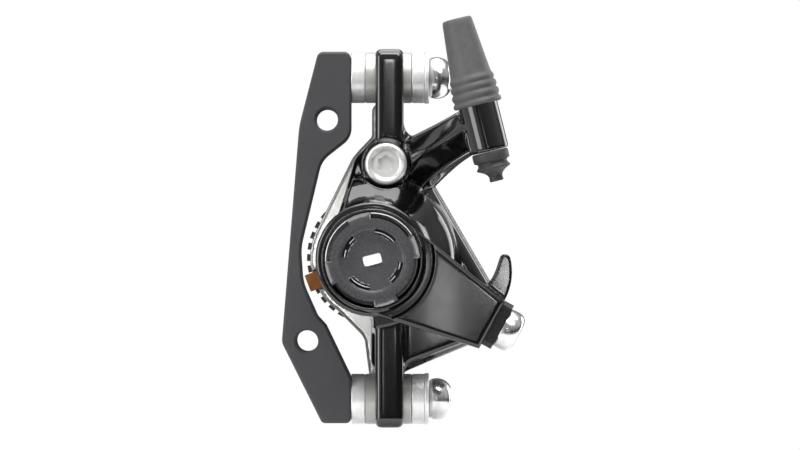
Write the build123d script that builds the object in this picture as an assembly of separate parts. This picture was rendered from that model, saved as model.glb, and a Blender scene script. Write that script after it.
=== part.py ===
from build123d import *
from math import acos, atan2, cos, degrees, hypot, pi, radians, sin, sqrt
import os

# Cable pulled disc brake caliper on its frame bracket, in millimetres.
# Every piece is modelled lying down: x to the right and y up as the outboard side is seen,
# z out of the rotor's middle plane towards the outboard side, and the torque arm's pivot on the z axis.
# The finished pieces are stood up: z becomes the frame's -Y, and y becomes its +Z.

# Standard sizes
post_spacing = 74.0
tab_hole_spacing = 51.0
rotor_radius = 80.0
housing_diameter = 5.0

# Fits
running_fit = 0.05
pad_fit = 0.4
soft_fit = 0.15
overrun = 2.0

# Rotor, and the slot that it runs in
rotor_centre_reach = 68.0
rotor_centre_angle = 211.5
rotor_edge_gap = 0.6
slot_half = 3.2

# Post bolts and the ears that they pass through
post_depth = 11.0
upper_post_share = 0.563
ear_left = 0.5
ear_width = 6.5
ear_tip_rise = 6.4
ear_half_depth = 7.6
ear_slot_travel = 1.5
ear_tip_round_share = 0.32
ear_side_round_share = 0.2

# Frame bracket
bracket_thickness = 11.0
bracket_edge = -5.05
bracket_edge_round = 0.9
tab_thread_radius = 2.5
tab_hole_chamfer = 0.55
tab_hole_shares = (-0.1427, 0.4311)
tab_hole_lean = 5.1

# The bracket's corners, right of the pivot and above it, and how far each is rounded, as shares of the post spacing
bracket_top_shares = [(-0.170, 0.022), (-0.229, 0.412, 0.270), (-0.283, -0.259, 0.040)]
bracket_foot_shares = (-0.158, 0.016)
bracket_scallop_shares = [
    (-0.369, 0.027), (-0.146, -0.207, 0.027), (-0.173, -0.178, 0.027), (-0.219, -0.074, 0.162),
    (-0.226, 0.034, 0.189), (-0.161, 0.305, 0.081), (0.378, 0.061)]

# Caliper bolts and their washers
post_bolt_radius = 3.0
post_bolt_thread = 7.0
post_head_radius = 4.8
post_head_height = 5.0
post_head_shares = [(0, 0), (1, 0), (1, 0.52), (0.86, 0.88), (0.66, 1), (0, 1)]
post_socket_width = 5.0
post_socket_depth = 2.8
washer_radius = 5.8
washer_bore_gap = 0.6
outer_ball_thickness = 1.9
outer_cup_thickness = 2.9
flat_washer_thickness = 1.05
flat_washer_radius = 5.95
inner_cup_share = 0.57
ball_seat_radius = 12.0
washer_round = 0.25

# Caliper body
barrel_radius = 13.0
barrel_height = 29.5
barrel_wall = 1.2
end_wall = 2.5
flange_height = 14.0
flange_round = 2.2
shoulder_radius = 17.6
shoulder_foot = 12.0
shoulder_drop = 5.0
body_bolt_shares = (0.0401, 0.2928)
lower_bolt_shares = (0.3054, -0.1703)
body_bolt_radius = 2.5
body_bolt_length = 27.0
bolt_end_gap = 0.5
body_bolt_head_radius = 4.8
body_bolt_head_height = 2.4
body_bolt_head_shares = [(0, 0), (1, 0), (1, 0.6), (0.9, 1), (0.62, 1), (0.5, 0.55), (0, 0.55)]
body_bolt_socket_radius = 2.3
boss_radius = 5.7
boss_height = 18.0
inboard_height = 15.0
inboard_wall = 1.4
inboard_rim_radius = 14.9
inboard_round = 1.6
inboard_leg_depth = 8.0

# The halves' corners, right of the pivot and above it, and how far each is rounded, as shares of the post spacing
outboard_top_shares = (0.460, 0.381, 0.0055, 0.020)
outboard_flank_shares = [
    (0.338, 0.027), (0.181, 0.230, 0.027), (0.364, -0.084, 0.054), (0.389, -0.149, 0.054),
    (0.346, -0.249, 0.054), (-0.354, 0.0055)]
outboard_back_shares = [
    (-0.007, -0.324, 0.041), (-0.007, -0.135, 0.007), (-0.111, 0.122, 0.014), (-0.059, 0.308, 0.054)]
inboard_shares = [
    (-0.005, 0.384, 0.032), (0.089, 0.384, 0.041), (0.193, 0.230, 0.027), (0.373, -0.081, 0.054),
    (0.397, -0.149, 0.054), (0.351, -0.254, 0.054), (0.081, -0.365, 0.041), (0.008, -0.343, 0.014),
    (-0.035, -0.246, 0.054), (-0.116, -0.164, 0.014), (-0.081, 0.0, 0.014), (-0.177, 0.096, 0.014),
    (-0.066, 0.319, 0.041)]
upper_leg_shares = [(-0.005, 0.270, 0.007), (-0.005, 0.486, 0.022), (0.084, 0.486, 0.022), (0.103, 0.270, 0.007)]
lower_leg_shares = [
    (-0.032, -0.230, 0.007), (-0.008, -0.419, 0.022), (0.065, -0.419, 0.022), (0.103, -0.270, 0.007)]

# Cable stop
cable_inset = 5.4
stop_foot_shares = (0.377, 0.238)
stop_lean = 14.0
stop_tube_radius = 4.45
stop_tube_low = 6.9
stop_tube_length = 11.6
liner_bore = 1.3
housing_socket_depth = 8.0
boot_clearance = 0.1

# The stop arm's sections: place as shares of the post spacing, depth as a share of the cable's depth,
# pitch in degrees, then width and height as shares of the tube's radius
stop_arm_heading = 38.0
stop_arm_shares = [
    (0.054, 0.230, 0.22, 20.0, 3.4, 3.2), (0.150, 0.300, 0.41, 35.0, 2.7, 2.6), (0.232, 0.352, 0.70, 45.0, 2.3, 2.2)]
arm_section_shares = [(1, -1), (1, 0.15), (0.35, 1), (-0.7, 0.7), (-1, -0.1), (-1, -1)]
stop_arm_end_share = 0.55
stop_arm_end_shares = (2.3, 1.9)
ear_web_shares = [
    (0.055, 0.243, 0.014), (0.055, 0.470, 0.014), (0.0935, 0.446, 0.010), (0.097, 0.374, 0.050),
    (0.189, 0.374, 0.014), (0.209, 0.243, 0.014)]
lower_web_shares = [
    (0.014, -0.130, 0.027), (0.014, -0.385, 0.014), (0.0935, -0.370, 0.010), (0.0935, -0.330, 0.045),
    (0.300, -0.252, 0.040), (0.300, -0.130, 0.027)]
web_round_share = 0.1

# Upper boot, measured along the cable from its foot
boot_foot_radius = 5.6
boot_tip_radius = 3.3
boot_length = 20.6
boot_bore_gap = 0.1
boot_rib_count = 3
boot_rib_pitch = 3.0
boot_rib_height = 0.75
boot_overlap = 1.6

# Lower boot
nipple_collar_radius = 4.25
nipple_length = 8.2
nipple_shares = [(0.4, 0), (0.46, 0.22), (0.75, 0.45), (0.93, 0.56), (0.93, 0.66), (0.75, 0.72), (1, 0.82)]

# Torque arm
arm_reach = 30.4
arm_lean = 28.5
arm_half_end = 6.1
hub_radius = 11.4
hub_cup_radius = 10.75
arm_gap = 1.5
hub_length = 10.4
arm_thickness = 9.0
moat_radius = 13.95
moat_depth = 5.2
cup_depth = 5.0
arm_edge_round = 1.0
hub_nose_radius = 6.2
arm_bore_radius = 5.0
arm_thread_radius = 4.4
arm_nut_thickness = 1.6
arm_nut_width = 13.0
knob_gap = 0.3
spring_groove_inner = 7.4
spring_groove_depth = 4.4
horn_thickness = 5.0

# The horn's flanks, along the arm from the pivot and across it, as shares of the arm's reach
horn_outer_shares = [(0.985, 0.10), (0.998, 0.22), (0.960, 0.383), (0.882, 0.500)]
horn_inner_shares = [(0.818, 0.470), (0.838, 0.35), (0.835, 0.27), (0.78, 0.19)]
horn_tip_shares = (0.845, 0.504)

# Cable anchor
pinch_plate_thickness = 2.3
pinch_plate_half = 5.5
anchor_head_radius = 4.75
anchor_head_height = 4.1
anchor_head_shares = [(0, 0), (1, 0), (1, 0.62), (0.72, 1), (0, 1)]
anchor_bolt_radius = 2.5
anchor_bolt_length = 9.0
anchor_offset = 0.55

# Return spring and hub seal
spring_radius = 8.9
spring_wire = 1.1
spring_length = 4.5
spring_turns = 2
seal_width = 1.0
seal_height = 1.1

# Ball ramps and thrust parts, which stack up inboard from the barrel's end wall
ramp_count = 3
ball_radius = 2.0
ball_circle = 8.6
ball_gap = 0.12
ball_sink = 0.9
arm_swing = 24.0
ramp_rise = 1.0
ramp_sink = 1.6
drive_cam_thickness = 4.5
fixed_cam_thickness = 3.0
cage_thickness = 0.8
cage_gap = 0.25
thrust_thickness = 1.2

# Adjusters
screw_radius = 4.0
screw_core_radius = 2.6
screw_flange_radius = 7.5
screw_flange_thickness = 1.2
foot_flange_radius = 10.4
foot_flange_thickness = 1.6
foot_hub_radius = 6.4
foot_play = 2.2
inboard_foot_hub_length = 3.2
foot_floor = 1.2
knob_disc_radius = 9.3
knob_lug_radius = 10.6
knob_thickness = 3.4
knob_slot_count = 4
knob_slot_first = 62.5
knob_lug_width_share = 0.34
knob_inset_radius = 7.1
knob_inset_depth = 0.35
knob_groove_inner = 5.8
knob_groove_outer = 6.9
knob_groove_sweep = 45.0
knob_groove_depth = 0.6
tip_length = 4.1
tip_width = 2.2
tip_lean = 14.5
wheel_radius = 15.9
wheel_root_share = 0.945
wheel_teeth = 36
wheel_thickness = 4.2
wheel_gap = 0.5

# Pads
pad_radius = 11.3
friction_radius = 9.6
friction_thickness = 2.4
plate_thickness = 2.0
pads_open = 5.2
pad_tab_angle = 201.0
pad_tab_reach = 16.3
pad_tab_width = 4.0
pad_tab_gap = 0.35

# Pad spring, drawn as far closed as the pads can press it
leaf_thickness = 0.3
leaf_inner = 10.0
leaf_outer = 11.2
leaf_gap = 2.12
leaf_sweep = 250.0
leaf_bridge_width = 7.0
leaf_pocket_gap = 0.25


def unit(angle):
    """The point at one millimetre's reach in a direction given in degrees."""
    return cos(radians(angle)), sin(radians(angle))


def polar(reach, angle, centre=(0.0, 0.0)):
    """A point at a reach and angle from a centre."""
    c, s = unit(angle)
    return centre[0] + reach * c, centre[1] + reach * s


def flat(depth):
    """The drawing plane at a depth outboard of the rotor's middle."""
    return Plane.XY.offset(depth)


def disc(radius, foot, top, centre=(0.0, 0.0)):
    """A round block between two depths."""
    return extrude(flat(foot) * Pos(*centre) * Circle(radius), top - foot)


def ring(outer, inner, foot, top, centre=(0.0, 0.0)):
    """A round block with a bore."""
    return extrude(flat(foot) * Pos(*centre) * (Circle(outer) - Circle(inner)), top - foot)


def plate(outline, foot, top):
    """A block with a drawn outline between two depths."""
    return extrude(flat(foot) * outline, top - foot)


def arc_slot(inner, outer, middle, sweep):
    """A curved slot with square ends, about the pivot."""
    low, high = middle - sweep / 2, middle + sweep / 2
    outline = Polyline(polar(inner, low), polar(outer, low))
    outline += ThreePointArc(polar(outer, low), polar(outer, middle), polar(outer, high))
    outline += Polyline(polar(outer, high), polar(inner, high))
    outline += ThreePointArc(polar(inner, high), polar(inner, middle), polar(inner, low))
    return make_face(outline)


def upright(piece):
    """Stands a piece up in the frame that the whole caliper is used in."""
    return Rot(X=90) * piece


def keep(name, *pieces):
    """Writes one node, which may hold several equal pieces."""
    solids = [solid for piece in pieces for solid in upright(piece).solids()]
    node = solids[0] if len(solids) == 1 else Compound(children=solids)
    node.label = name
    export_step(node, os.path.join("parts", name + ".step"))


# Places that several pieces share
upper_post_rise = post_spacing * upper_post_share
lower_post_rise = upper_post_rise - post_spacing
post_rises = (upper_post_rise, lower_post_rise)
ear_right = ear_left + ear_width
rotor_centre = polar(rotor_centre_reach, rotor_centre_angle)
rotor_slot_radius = rotor_radius + rotor_edge_gap
tab_hole_upper = [share * post_spacing for share in tab_hole_shares]
body_bolt_place = [share * post_spacing for share in body_bolt_shares]
lower_bolt_place = [share * post_spacing for share in lower_bolt_shares]
stop_foot = [share * post_spacing for share in stop_foot_shares]
tab_hole_lower = polar(tab_hole_spacing, -90 - tab_hole_lean, tab_hole_upper)
tab_holes = (tab_hole_upper, tab_hole_lower)
bracket_face = post_depth + bracket_thickness / 2
bracket_back = post_depth - bracket_thickness / 2
bore_radius = barrel_radius - barrel_wall
friction_face = pads_open / 2
plate_face = friction_face + friction_thickness
plate_back = plate_face + plate_thickness
foot_back = plate_back + foot_flange_thickness
end_wall_foot = barrel_height - end_wall
fixed_cam_foot = end_wall_foot - fixed_cam_thickness
ball_height = fixed_cam_foot - ball_radius + ball_sink
drive_cam_top = ball_height - ball_radius + ramp_sink
drive_cam_foot = drive_cam_top - drive_cam_thickness
thrust_foot = drive_cam_foot - thrust_thickness
screw_flange_foot = thrust_foot - screw_flange_thickness
foot_hub_length = screw_flange_foot - foot_back - foot_play
shoulder_top = barrel_height - shoulder_drop
arm_back = barrel_height + arm_gap
arm_front = arm_back + hub_length
moat_floor = arm_front - moat_depth
cup_floor = arm_front - cup_depth
cable_depth = arm_front - cable_inset
stop_heading = 90.0 + stop_lean
boot_foot = stop_tube_low + stop_tube_length - boot_overlap
leaf_reach = rotor_slot_radius - rotor_centre_reach + leaf_thickness
knob_floor = cup_floor + arm_nut_thickness + knob_gap
knob_top = knob_floor + knob_thickness


def bolt_axis(rise, start):
    """The frame of a post bolt: its z runs to the right, from a place across the ears."""
    return Location(Plane(origin=(start, rise, post_depth), x_dir=(0, 1, 0), z_dir=(1, 0, 0)))


def cable_axis(reach):
    """The frame of the cable at a reach up its line from the lower boot's tip."""
    x, y = polar(reach, stop_heading, stop_foot)
    c, s = unit(stop_heading)
    return Location(Plane(origin=(x, y, cable_depth), x_dir=(0, 0, 1), z_dir=(c, s, 0)))


def arm_axis(reach):
    """The frame along the torque arm, with its z running out of the arm's end."""
    x, y = polar(reach, -arm_lean)
    c, s = unit(-arm_lean)
    return Location(Plane(origin=(x, y, cable_depth), x_dir=(0, 0, 1), z_dir=(c, s, 0)))


def turned(points):
    """A revolved piece from the outline of its half section, given as radius and height."""
    outline = Plane.XZ * make_face(Polyline(*points, close=True))
    return revolve(outline, Axis.Z)


def profile(shares, radius, height):
    """The half section of a turned piece, from shares of its radius and height."""
    return [(out * radius, up * height) for out, up in shares]


# Frame bracket

def rounded(corners):
    """A closed outline of straight runs, from corners that are given with the radius of each."""
    points = [(x, y) for x, y, radius in corners]
    return make_face(FilletPolyline(*points, radius=[radius for x, y, radius in corners], close=True))


def grown(shares):
    """Corner tables that are written as shares of the post spacing, in millimetres."""
    return [tuple(share * post_spacing for share in corner) for corner in shares]


def bracket_outline():
    """The plate's outline, with the scallop that clears the caliper's barrel."""
    top = upper_post_rise + washer_radius
    foot = lower_post_rise - washer_radius + bracket_edge_round / 2
    (top_x, top_round), *back = grown(bracket_top_shares)
    ((foot_x, foot_round),) = grown([bracket_foot_shares])
    (low_y, low_round), *scallop, (high_y, high_round) = grown(bracket_scallop_shares)
    return rounded([
        (top_x, top, top_round), *back, (foot_x, foot, foot_round), (bracket_edge, foot, foot_round),
        (bracket_edge, low_y, low_round), *scallop, (bracket_edge, high_y, high_round),
        (bracket_edge, top, top_round)])


def bracket():
    """The flat plate that bolts to the frame's tabs and takes the two caliper bolts."""
    body = plate(bracket_outline(), bracket_back, bracket_face)
    rims = body.faces().sort_by(Axis.Z)
    body = chamfer(rims[-1].edges() + rims[0].edges(), bracket_edge_round / 2)
    for x, y in tab_holes:
        body -= disc(tab_thread_radius, bracket_back - overrun, bracket_face + overrun, (x, y))
        for face, turn in ((bracket_face, 0), (bracket_back, 180)):
            mouth = Cone(tab_thread_radius, tab_thread_radius + tab_hole_chamfer, tab_hole_chamfer,
                         align=(Align.CENTER, Align.CENTER, Align.MAX))
            body -= Pos(x, y, face) * Rot(X=turn) * mouth
    for rise in post_rises:
        hole = Cylinder(post_bolt_radius + running_fit, post_bolt_thread + overrun,
                        align=(Align.CENTER, Align.CENTER, Align.MAX))
        body -= bolt_axis(rise, bracket_edge) * Pos(0, 0, overrun / 2) * hole
    return body


# Post bolts and washers

inner_stack = ear_left - bracket_edge
inner_cup_thickness = inner_stack * inner_cup_share
inner_ball_thickness = inner_stack - inner_cup_thickness
washer_bore = post_bolt_radius + washer_bore_gap
ball_dish = ball_seat_radius - sqrt(ball_seat_radius ** 2 - (washer_radius - washer_round) ** 2)


def washer_blank(thickness, radius):
    """A washer with broken edges, standing on its own z axis."""
    blank = Cylinder(radius, thickness, align=(Align.CENTER, Align.CENTER, Align.MIN))
    blank = fillet(blank.edges(), washer_round)
    return blank - Cylinder(washer_bore, thickness * 2 + overrun)


def ball_shape():
    """The sphere that the ball and cup washers share, with its pole at the origin."""
    return Pos(0, 0, -ball_seat_radius) * Sphere(ball_seat_radius)


def cup_washer(thickness):
    """The concave washer: its dish faces up the z axis' negative side."""
    return washer_blank(thickness, washer_radius) - Pos(0, 0, ball_dish) * ball_shape()


def ball_washer(thickness):
    """The convex washer: it sits in the cup's dish, with its flat face towards the ear."""
    blank = Cylinder(washer_radius, thickness + ball_dish, align=(Align.CENTER, Align.CENTER, Align.MIN))
    rounded = blank & Pos(0, 0, thickness + ball_dish - running_fit) * ball_shape()
    return rounded - Cylinder(washer_bore, (thickness + ball_dish) * 2 + overrun)


def post_bolt(rise):
    """A domed socket head bolt from the outer washers into the bracket."""
    seat = ear_right + outer_ball_thickness + outer_cup_thickness + flat_washer_thickness
    reach = seat - bracket_edge + post_bolt_thread
    head = turned(profile(post_head_shares, post_head_radius, post_head_height))
    socket = extrude(Plane.XY.offset(post_head_height - post_socket_depth)
                     * RegularPolygon(post_socket_width / 2, 6, major_radius=False), post_head_height)
    shank = Cylinder(post_bolt_radius, reach, align=(Align.CENTER, Align.CENTER, Align.MAX))
    return bolt_axis(rise, seat) * (head - socket + shank)


def mirrored(place, piece):
    """Puts a piece at a place with its z axis turned back."""
    return place * Rot(X=180) * piece


def washers_at(rise):
    """The five washers of one bolt, from the bracket outwards."""
    outer_ball = ear_right
    outer_cup = outer_ball + outer_ball_thickness
    flat_washer = outer_cup + outer_cup_thickness
    return {
        "inner_cup_washers": mirrored(bolt_axis(rise, bracket_edge + inner_cup_thickness),
                                      cup_washer(inner_cup_thickness)),
        "inner_ball_washers": mirrored(bolt_axis(rise, ear_left), ball_washer(inner_ball_thickness)),
        "outer_ball_washers": bolt_axis(rise, outer_ball) * ball_washer(outer_ball_thickness),
        "outer_cup_washers": bolt_axis(rise, outer_cup) * cup_washer(outer_cup_thickness),
        "flat_washers": bolt_axis(rise, flat_washer) * washer_blank(flat_washer_thickness, flat_washer_radius),
    }


# Caliper body

def outboard_outline():
    """The outboard half's footprint around the barrel, with its right flank and lower web."""
    ((top_y, left_y, tip_round, left_round),) = grown([outboard_top_shares])
    (right_y, right_round), *flank, (foot_y, foot_round) = grown(outboard_flank_shares)
    return rounded([
        (ear_left, top_y, tip_round), (ear_right, top_y, tip_round), (ear_right, right_y, right_round), *flank,
        (ear_right, foot_y, foot_round), (ear_left, foot_y, foot_round), *grown(outboard_back_shares),
        (ear_left, left_y, left_round)])


def inboard_outline():
    """The inboard half's footprint: it reaches a little further out than the outboard half."""
    return rounded(grown(inboard_shares))


def inboard_legs():
    """The thin legs that back the outboard half's two ear columns."""
    legs = []
    for shares in (upper_leg_shares, lower_leg_shares):
        leg = plate(rounded(grown(shares)), -inboard_leg_depth, 0)
        legs.append(fillet(leg.faces().sort_by(Axis.Z)[0].edges(), inboard_round / 2))
    return legs[0] + legs[1]


def rotor_slot():
    """The disc that the rotor needs, cut out of both halves."""
    return disc(rotor_slot_radius, -slot_half, slot_half, rotor_centre)


def ear(rise, tip_side, root):
    """One slotted ear, as wide as the washers leave room for, down to its root in the body."""
    tip = rise + tip_side * ear_tip_rise
    low, high = sorted((tip, root))
    block = Pos((ear_left + ear_right) / 2, (low + high) / 2, post_depth) * Box(
        ear_width, high - low, ear_half_depth * 2)
    tip_edges = block.edges().filter_by(Axis.X).group_by(Axis.Y)[-1 if tip_side > 0 else 0]
    block = fillet(tip_edges, ear_width * ear_tip_round_share)
    sides = block.faces().filter_by(Axis.X)
    block = fillet(sides.edges(), ear_width * ear_side_round_share)
    slot = SlotOverall(ear_slot_travel * 2 + (post_bolt_radius + washer_bore_gap) * 2,
                       (post_bolt_radius + washer_bore_gap) * 2, rotation=90)
    cut = extrude(slot, ear_width * 2, both=True)
    return block - bolt_axis(rise, (ear_left + ear_right) / 2) * cut


def stop_tube():
    """The tube at the end of the stop arm, with the socket that the cable housing enters."""
    tube = Cylinder(stop_tube_radius, stop_tube_length, align=(Align.CENTER, Align.CENTER, Align.MIN))
    return cable_axis(stop_tube_low) * tube


def stop_bores():
    """The housing's socket from above and the bare cable's way on below it."""
    socket = Cylinder(housing_diameter / 2 + boot_bore_gap, housing_socket_depth + overrun,
                      align=(Align.CENTER, Align.CENTER, Align.MIN))
    way = Cylinder(liner_bore, stop_tube_length * 2, align=(Align.CENTER, Align.CENTER, Align.CENTER))
    top = stop_tube_low + stop_tube_length
    return (cable_axis(top - housing_socket_depth) * socket) + (cable_axis(stop_tube_low) * way)


def arm_section(place, pitch, width, height):
    """A ridged cross section of the stop arm, across its run."""
    c, s = unit(stop_arm_heading)
    cp, sp = unit(pitch)
    plane = Plane(origin=place, x_dir=(-s, c, 0), z_dir=(c * cp, s * cp, sp))
    corners = [(across * width / 2, up * height / 2, height / 8) for across, up in arm_section_shares]
    return plane * rounded(corners)


def stop_arm():
    """The ridged arm that rises from the body to the stop tube."""
    sections = []
    for x, y, depth, pitch, width, height in stop_arm_shares:
        place = (x * post_spacing, y * post_spacing, depth * cable_depth)
        sections.append(arm_section(place, pitch, width * stop_tube_radius, height * stop_tube_radius))
    x, y = polar(stop_tube_low + stop_tube_length * stop_arm_end_share, stop_heading, stop_foot)
    width, height = [share * stop_tube_radius for share in stop_arm_end_shares]
    sections.append(arm_section((x, y, cable_depth - stop_tube_radius / 8), stop_arm_heading, width, height))
    return loft(sections)


def ear_web(shares, top):
    """A curved web that fills the corner between an ear and the casting beside it, up to a depth."""
    web = plate(rounded(grown(shares)), post_depth - ear_half_depth / 2, top)
    return fillet(web.faces().sort_by(Axis.Z)[-1].edges(), ear_width * web_round_share)


def tab_notch():
    """The way that a pad's tab takes out through the wall, from the slot to its rest place."""
    middle = polar(pad_tab_reach, pad_tab_angle)
    way = Pos(*middle) * Rot(Z=pad_tab_angle) * Rectangle(pad_tab_reach * 2 - bore_radius,
                                                           pad_tab_width + pad_tab_gap * 2)
    return plate(way, -plate_back - pad_tab_gap, plate_back + pad_tab_gap)


def spring_pocket():
    """The pocket in the slot's roof that the pad spring's bridge sits in."""
    reach = leaf_reach + leaf_thickness + leaf_pocket_gap
    heading = rotor_centre_angle - 180
    middle = polar(reach / 2, heading)
    half = leaf_gap + leaf_thickness + leaf_pocket_gap
    return plate(Pos(*middle) * Rot(Z=heading) * Rectangle(reach, leaf_bridge_width + leaf_pocket_gap * 2),
                 -half, half)


def outboard_body():
    """The outboard half: flange, barrel, ears, bolt bosses and cable stop in one casting."""
    outline = outboard_outline()
    flange = plate(outline, 0, flange_height)
    flange = fillet(flange.faces().sort_by(Axis.Z)[-1].edges(), flange_round)
    shoulder = Pos(0, 0, shoulder_foot) * Cone(
        shoulder_radius, barrel_radius, shoulder_top - shoulder_foot,
        align=(Align.CENTER, Align.CENTER, Align.MIN))
    shoulder += disc(shoulder_radius, 0, shoulder_foot)
    shoulder &= plate(outline + Circle(barrel_radius), 0, barrel_height)
    barrel = disc(barrel_radius, 0, barrel_height)
    barrel = fillet(barrel.faces().sort_by(Axis.Z)[-1].edges(), barrel_wall / 2)
    body = flange + shoulder + barrel
    body += disc(boss_radius, 0, boss_height, body_bolt_place)
    body += disc(boss_radius, 0, boss_height, lower_bolt_place)
    body += ear(upper_post_rise, 1, body_bolt_place[1])
    body += ear(lower_post_rise, -1, -barrel_radius)
    body += ear_web(ear_web_shares, post_depth + ear_half_depth / 2)
    body += ear_web(lower_web_shares, post_depth + ear_half_depth * 2 / 3)
    body += stop_arm()
    body -= cable_axis(boot_foot - boot_clearance * 2) * Cylinder(
        boot_foot_radius + soft_fit * 2, boot_length, align=(Align.CENTER, Align.CENTER, Align.MIN))
    body += stop_tube()
    body -= stop_bores()
    for place in (body_bolt_place, lower_bolt_place):
        body -= disc(boss_radius, boss_height, arm_back - knob_gap, place)
    body -= disc(bore_radius, -overrun, end_wall_foot)
    body -= disc(hub_nose_radius + running_fit, -overrun, barrel_height + overrun)
    body -= disc(hub_nose_radius + seal_width + soft_fit, end_wall_foot, end_wall_foot + seal_height)
    body -= tab_notch()
    body -= spring_pocket()
    for place in (body_bolt_place, lower_bolt_place):
        body -= disc(body_bolt_radius + running_fit, -overrun, boss_height + overrun, place)
    body -= rotor_slot()
    return body.solids().sort_by(SortBy.VOLUME)[-1]


def inboard_body():
    """The inboard half: it carries the inboard pad and the toothed knob."""
    body = plate(inboard_outline(), -inboard_height, 0)
    body = fillet(body.faces().sort_by(Axis.Z)[0].edges(), inboard_round)
    rim = disc(inboard_rim_radius, -inboard_height, 0)
    body += fillet(rim.faces().sort_by(Axis.Z)[0].edges(), inboard_round)
    body += inboard_legs()
    body -= disc(bore_radius, -inboard_height + inboard_wall, overrun)
    body -= disc(screw_radius + running_fit * 2, -inboard_height - overrun, overrun)
    for place in (body_bolt_place, lower_bolt_place):
        body -= disc(body_bolt_radius + running_fit, boss_height - body_bolt_length - bolt_end_gap, overrun, place)
    body -= rotor_slot()
    body -= tab_notch()
    body -= spring_pocket()
    return body.solids().sort_by(SortBy.VOLUME)[-1]


def body_bolt(place):
    """A round headed bolt with a dished drive, through the outboard half into the inboard one."""
    head = turned(profile(body_bolt_head_shares, body_bolt_head_radius, body_bolt_head_height))
    drive = extrude(Plane.XY * RegularPolygon(body_bolt_socket_radius, 6), body_bolt_head_height)
    shank = Cylinder(body_bolt_radius, body_bolt_length, align=(Align.CENTER, Align.CENTER, Align.MAX))
    return Pos(*place, boss_height) * (head - Pos(0, 0, -body_bolt_head_height / 3) * drive + shank)


# Boots on the cable stop

def upper_boot():
    """The tapered rubber boot with ribs at its foot, over the housing and the tube's mouth."""
    grip = stop_tube_radius + boot_clearance
    rib_zone = boot_rib_count * boot_rib_pitch
    points = [(grip, 0), (boot_foot_radius, 0)]
    for rib in range(boot_rib_count):
        start = rib * boot_rib_pitch + boot_rib_pitch / 3
        shrink = boot_foot_radius - (boot_foot_radius - boot_tip_radius) * start / boot_length
        points += [(shrink - boot_rib_height, start), (shrink, start + boot_rib_pitch / 3)]
        points += [(shrink, start + boot_rib_pitch * 2 / 3)]
    neck = boot_foot_radius - (boot_foot_radius - boot_tip_radius) * rib_zone / boot_length - boot_rib_height
    bore = housing_diameter / 2 + boot_bore_gap
    points += [(neck, rib_zone + boot_rib_pitch / 3), (boot_tip_radius, boot_length - boot_rib_height)]
    points += [(boot_tip_radius - boot_rib_height / 2, boot_length), (bore, boot_length)]
    points += [(bore, boot_overlap + boot_clearance), (grip, boot_overlap + boot_clearance)]
    return cable_axis(boot_foot) * turned(points)


def lower_boot():
    """The rubber nipple over the tube's lower end, where the bare cable comes out."""
    top = stop_tube_low - boot_clearance
    points = [(liner_bore, 0), *profile(nipple_shares, nipple_collar_radius, nipple_length)]
    return cable_axis(0) * turned([*points, (nipple_collar_radius, top), (liner_bore, top)])


# Torque arm and what rides on it

def arm_outline():
    """The arm's outline: a round hub with straight flanks that run to the square end."""
    end_middle = polar(arm_reach, -arm_lean)
    top = polar(arm_half_end, 90 - arm_lean, end_middle)
    low = polar(arm_half_end, -90 - arm_lean, end_middle)
    flanks = []
    for corner, side in ((top, 1), (low, -1)):
        reach = hypot(*corner)
        heading = degrees(atan2(corner[1], corner[0]))
        flanks.append(polar(hub_radius, heading + side * degrees(acos(hub_radius / reach))))
    return make_face(Polyline((0, 0), flanks[0], top, low, flanks[1], close=True)) + Circle(hub_radius)


def horn():
    """The fin at the arm's end that guides the cable into the anchor."""
    def along(shares):
        reach, rise = [share * arm_reach for share in shares]
        return polar(rise, 90 - arm_lean, polar(reach, -arm_lean))

    outer = [along(shares) for shares in horn_outer_shares]
    inner = [along(shares) for shares in horn_inner_shares]
    tip = ThreePointArc(outer[-1], along(horn_tip_shares), inner[0])
    outline = make_face(Spline(outer) + tip + Spline(inner) + Line(inner[-1], outer[0]))
    return plate(outline, cable_depth - horn_thickness / 2, cable_depth + horn_thickness / 2)


def torque_arm():
    """The lever on the drive cam's hub, with the cup for the knob and the guide horn."""
    blank = plate(arm_outline(), arm_front - arm_thickness, arm_front)
    blank = fillet(blank.faces().sort_by(Axis.Z)[-1].edges(), arm_edge_round)
    hub = disc(hub_radius, arm_back, arm_front)
    body = blank + hub
    body -= ring(moat_radius, hub_radius, moat_floor, arm_front + overrun)
    body += horn()
    body -= disc(hub_cup_radius, cup_floor, arm_front + overrun)
    body -= disc(arm_bore_radius + running_fit, arm_back - overrun, arm_front)
    body -= ring(hub_radius - barrel_wall, spring_groove_inner, arm_back - overrun, arm_back + spring_groove_depth)
    hole = Cylinder(anchor_bolt_radius + running_fit, anchor_bolt_length + overrun,
                    align=(Align.CENTER, Align.CENTER, Align.MAX))
    body -= arm_axis(arm_reach) * Pos(0, -anchor_offset, overrun) * hole
    return body.solids().sort_by(SortBy.VOLUME)[-1]


def pinch_plate():
    """The plate that the anchor bolt clamps on the cable, across the arm's end."""
    block = Box(pinch_plate_half * 1.5, pinch_plate_half * 2, pinch_plate_thickness,
                align=(Align.CENTER, Align.CENTER, Align.MIN))
    block = fillet(block.edges().filter_by(Axis.Z), pinch_plate_half / 4)
    block -= Cylinder(anchor_bolt_radius + running_fit, pinch_plate_thickness * 3)
    return arm_axis(arm_reach) * Pos(0, -anchor_offset, 0) * block


def anchor_bolt():
    """The socket head bolt on the arm's end that holds the cable."""
    head = turned(profile(anchor_head_shares, anchor_head_radius, anchor_head_height))
    socket = extrude(Plane.XY.offset(anchor_head_height / 3)
                     * RegularPolygon(anchor_head_radius / 2, 6), anchor_head_height)
    shank = Cylinder(anchor_bolt_radius, pinch_plate_thickness + anchor_bolt_length * 0.9,
                     align=(Align.CENTER, Align.CENTER, Align.MAX))
    return arm_axis(arm_reach + pinch_plate_thickness) * Pos(0, -anchor_offset, 0) * (head - socket + shank)


# Ball ramps

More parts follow.
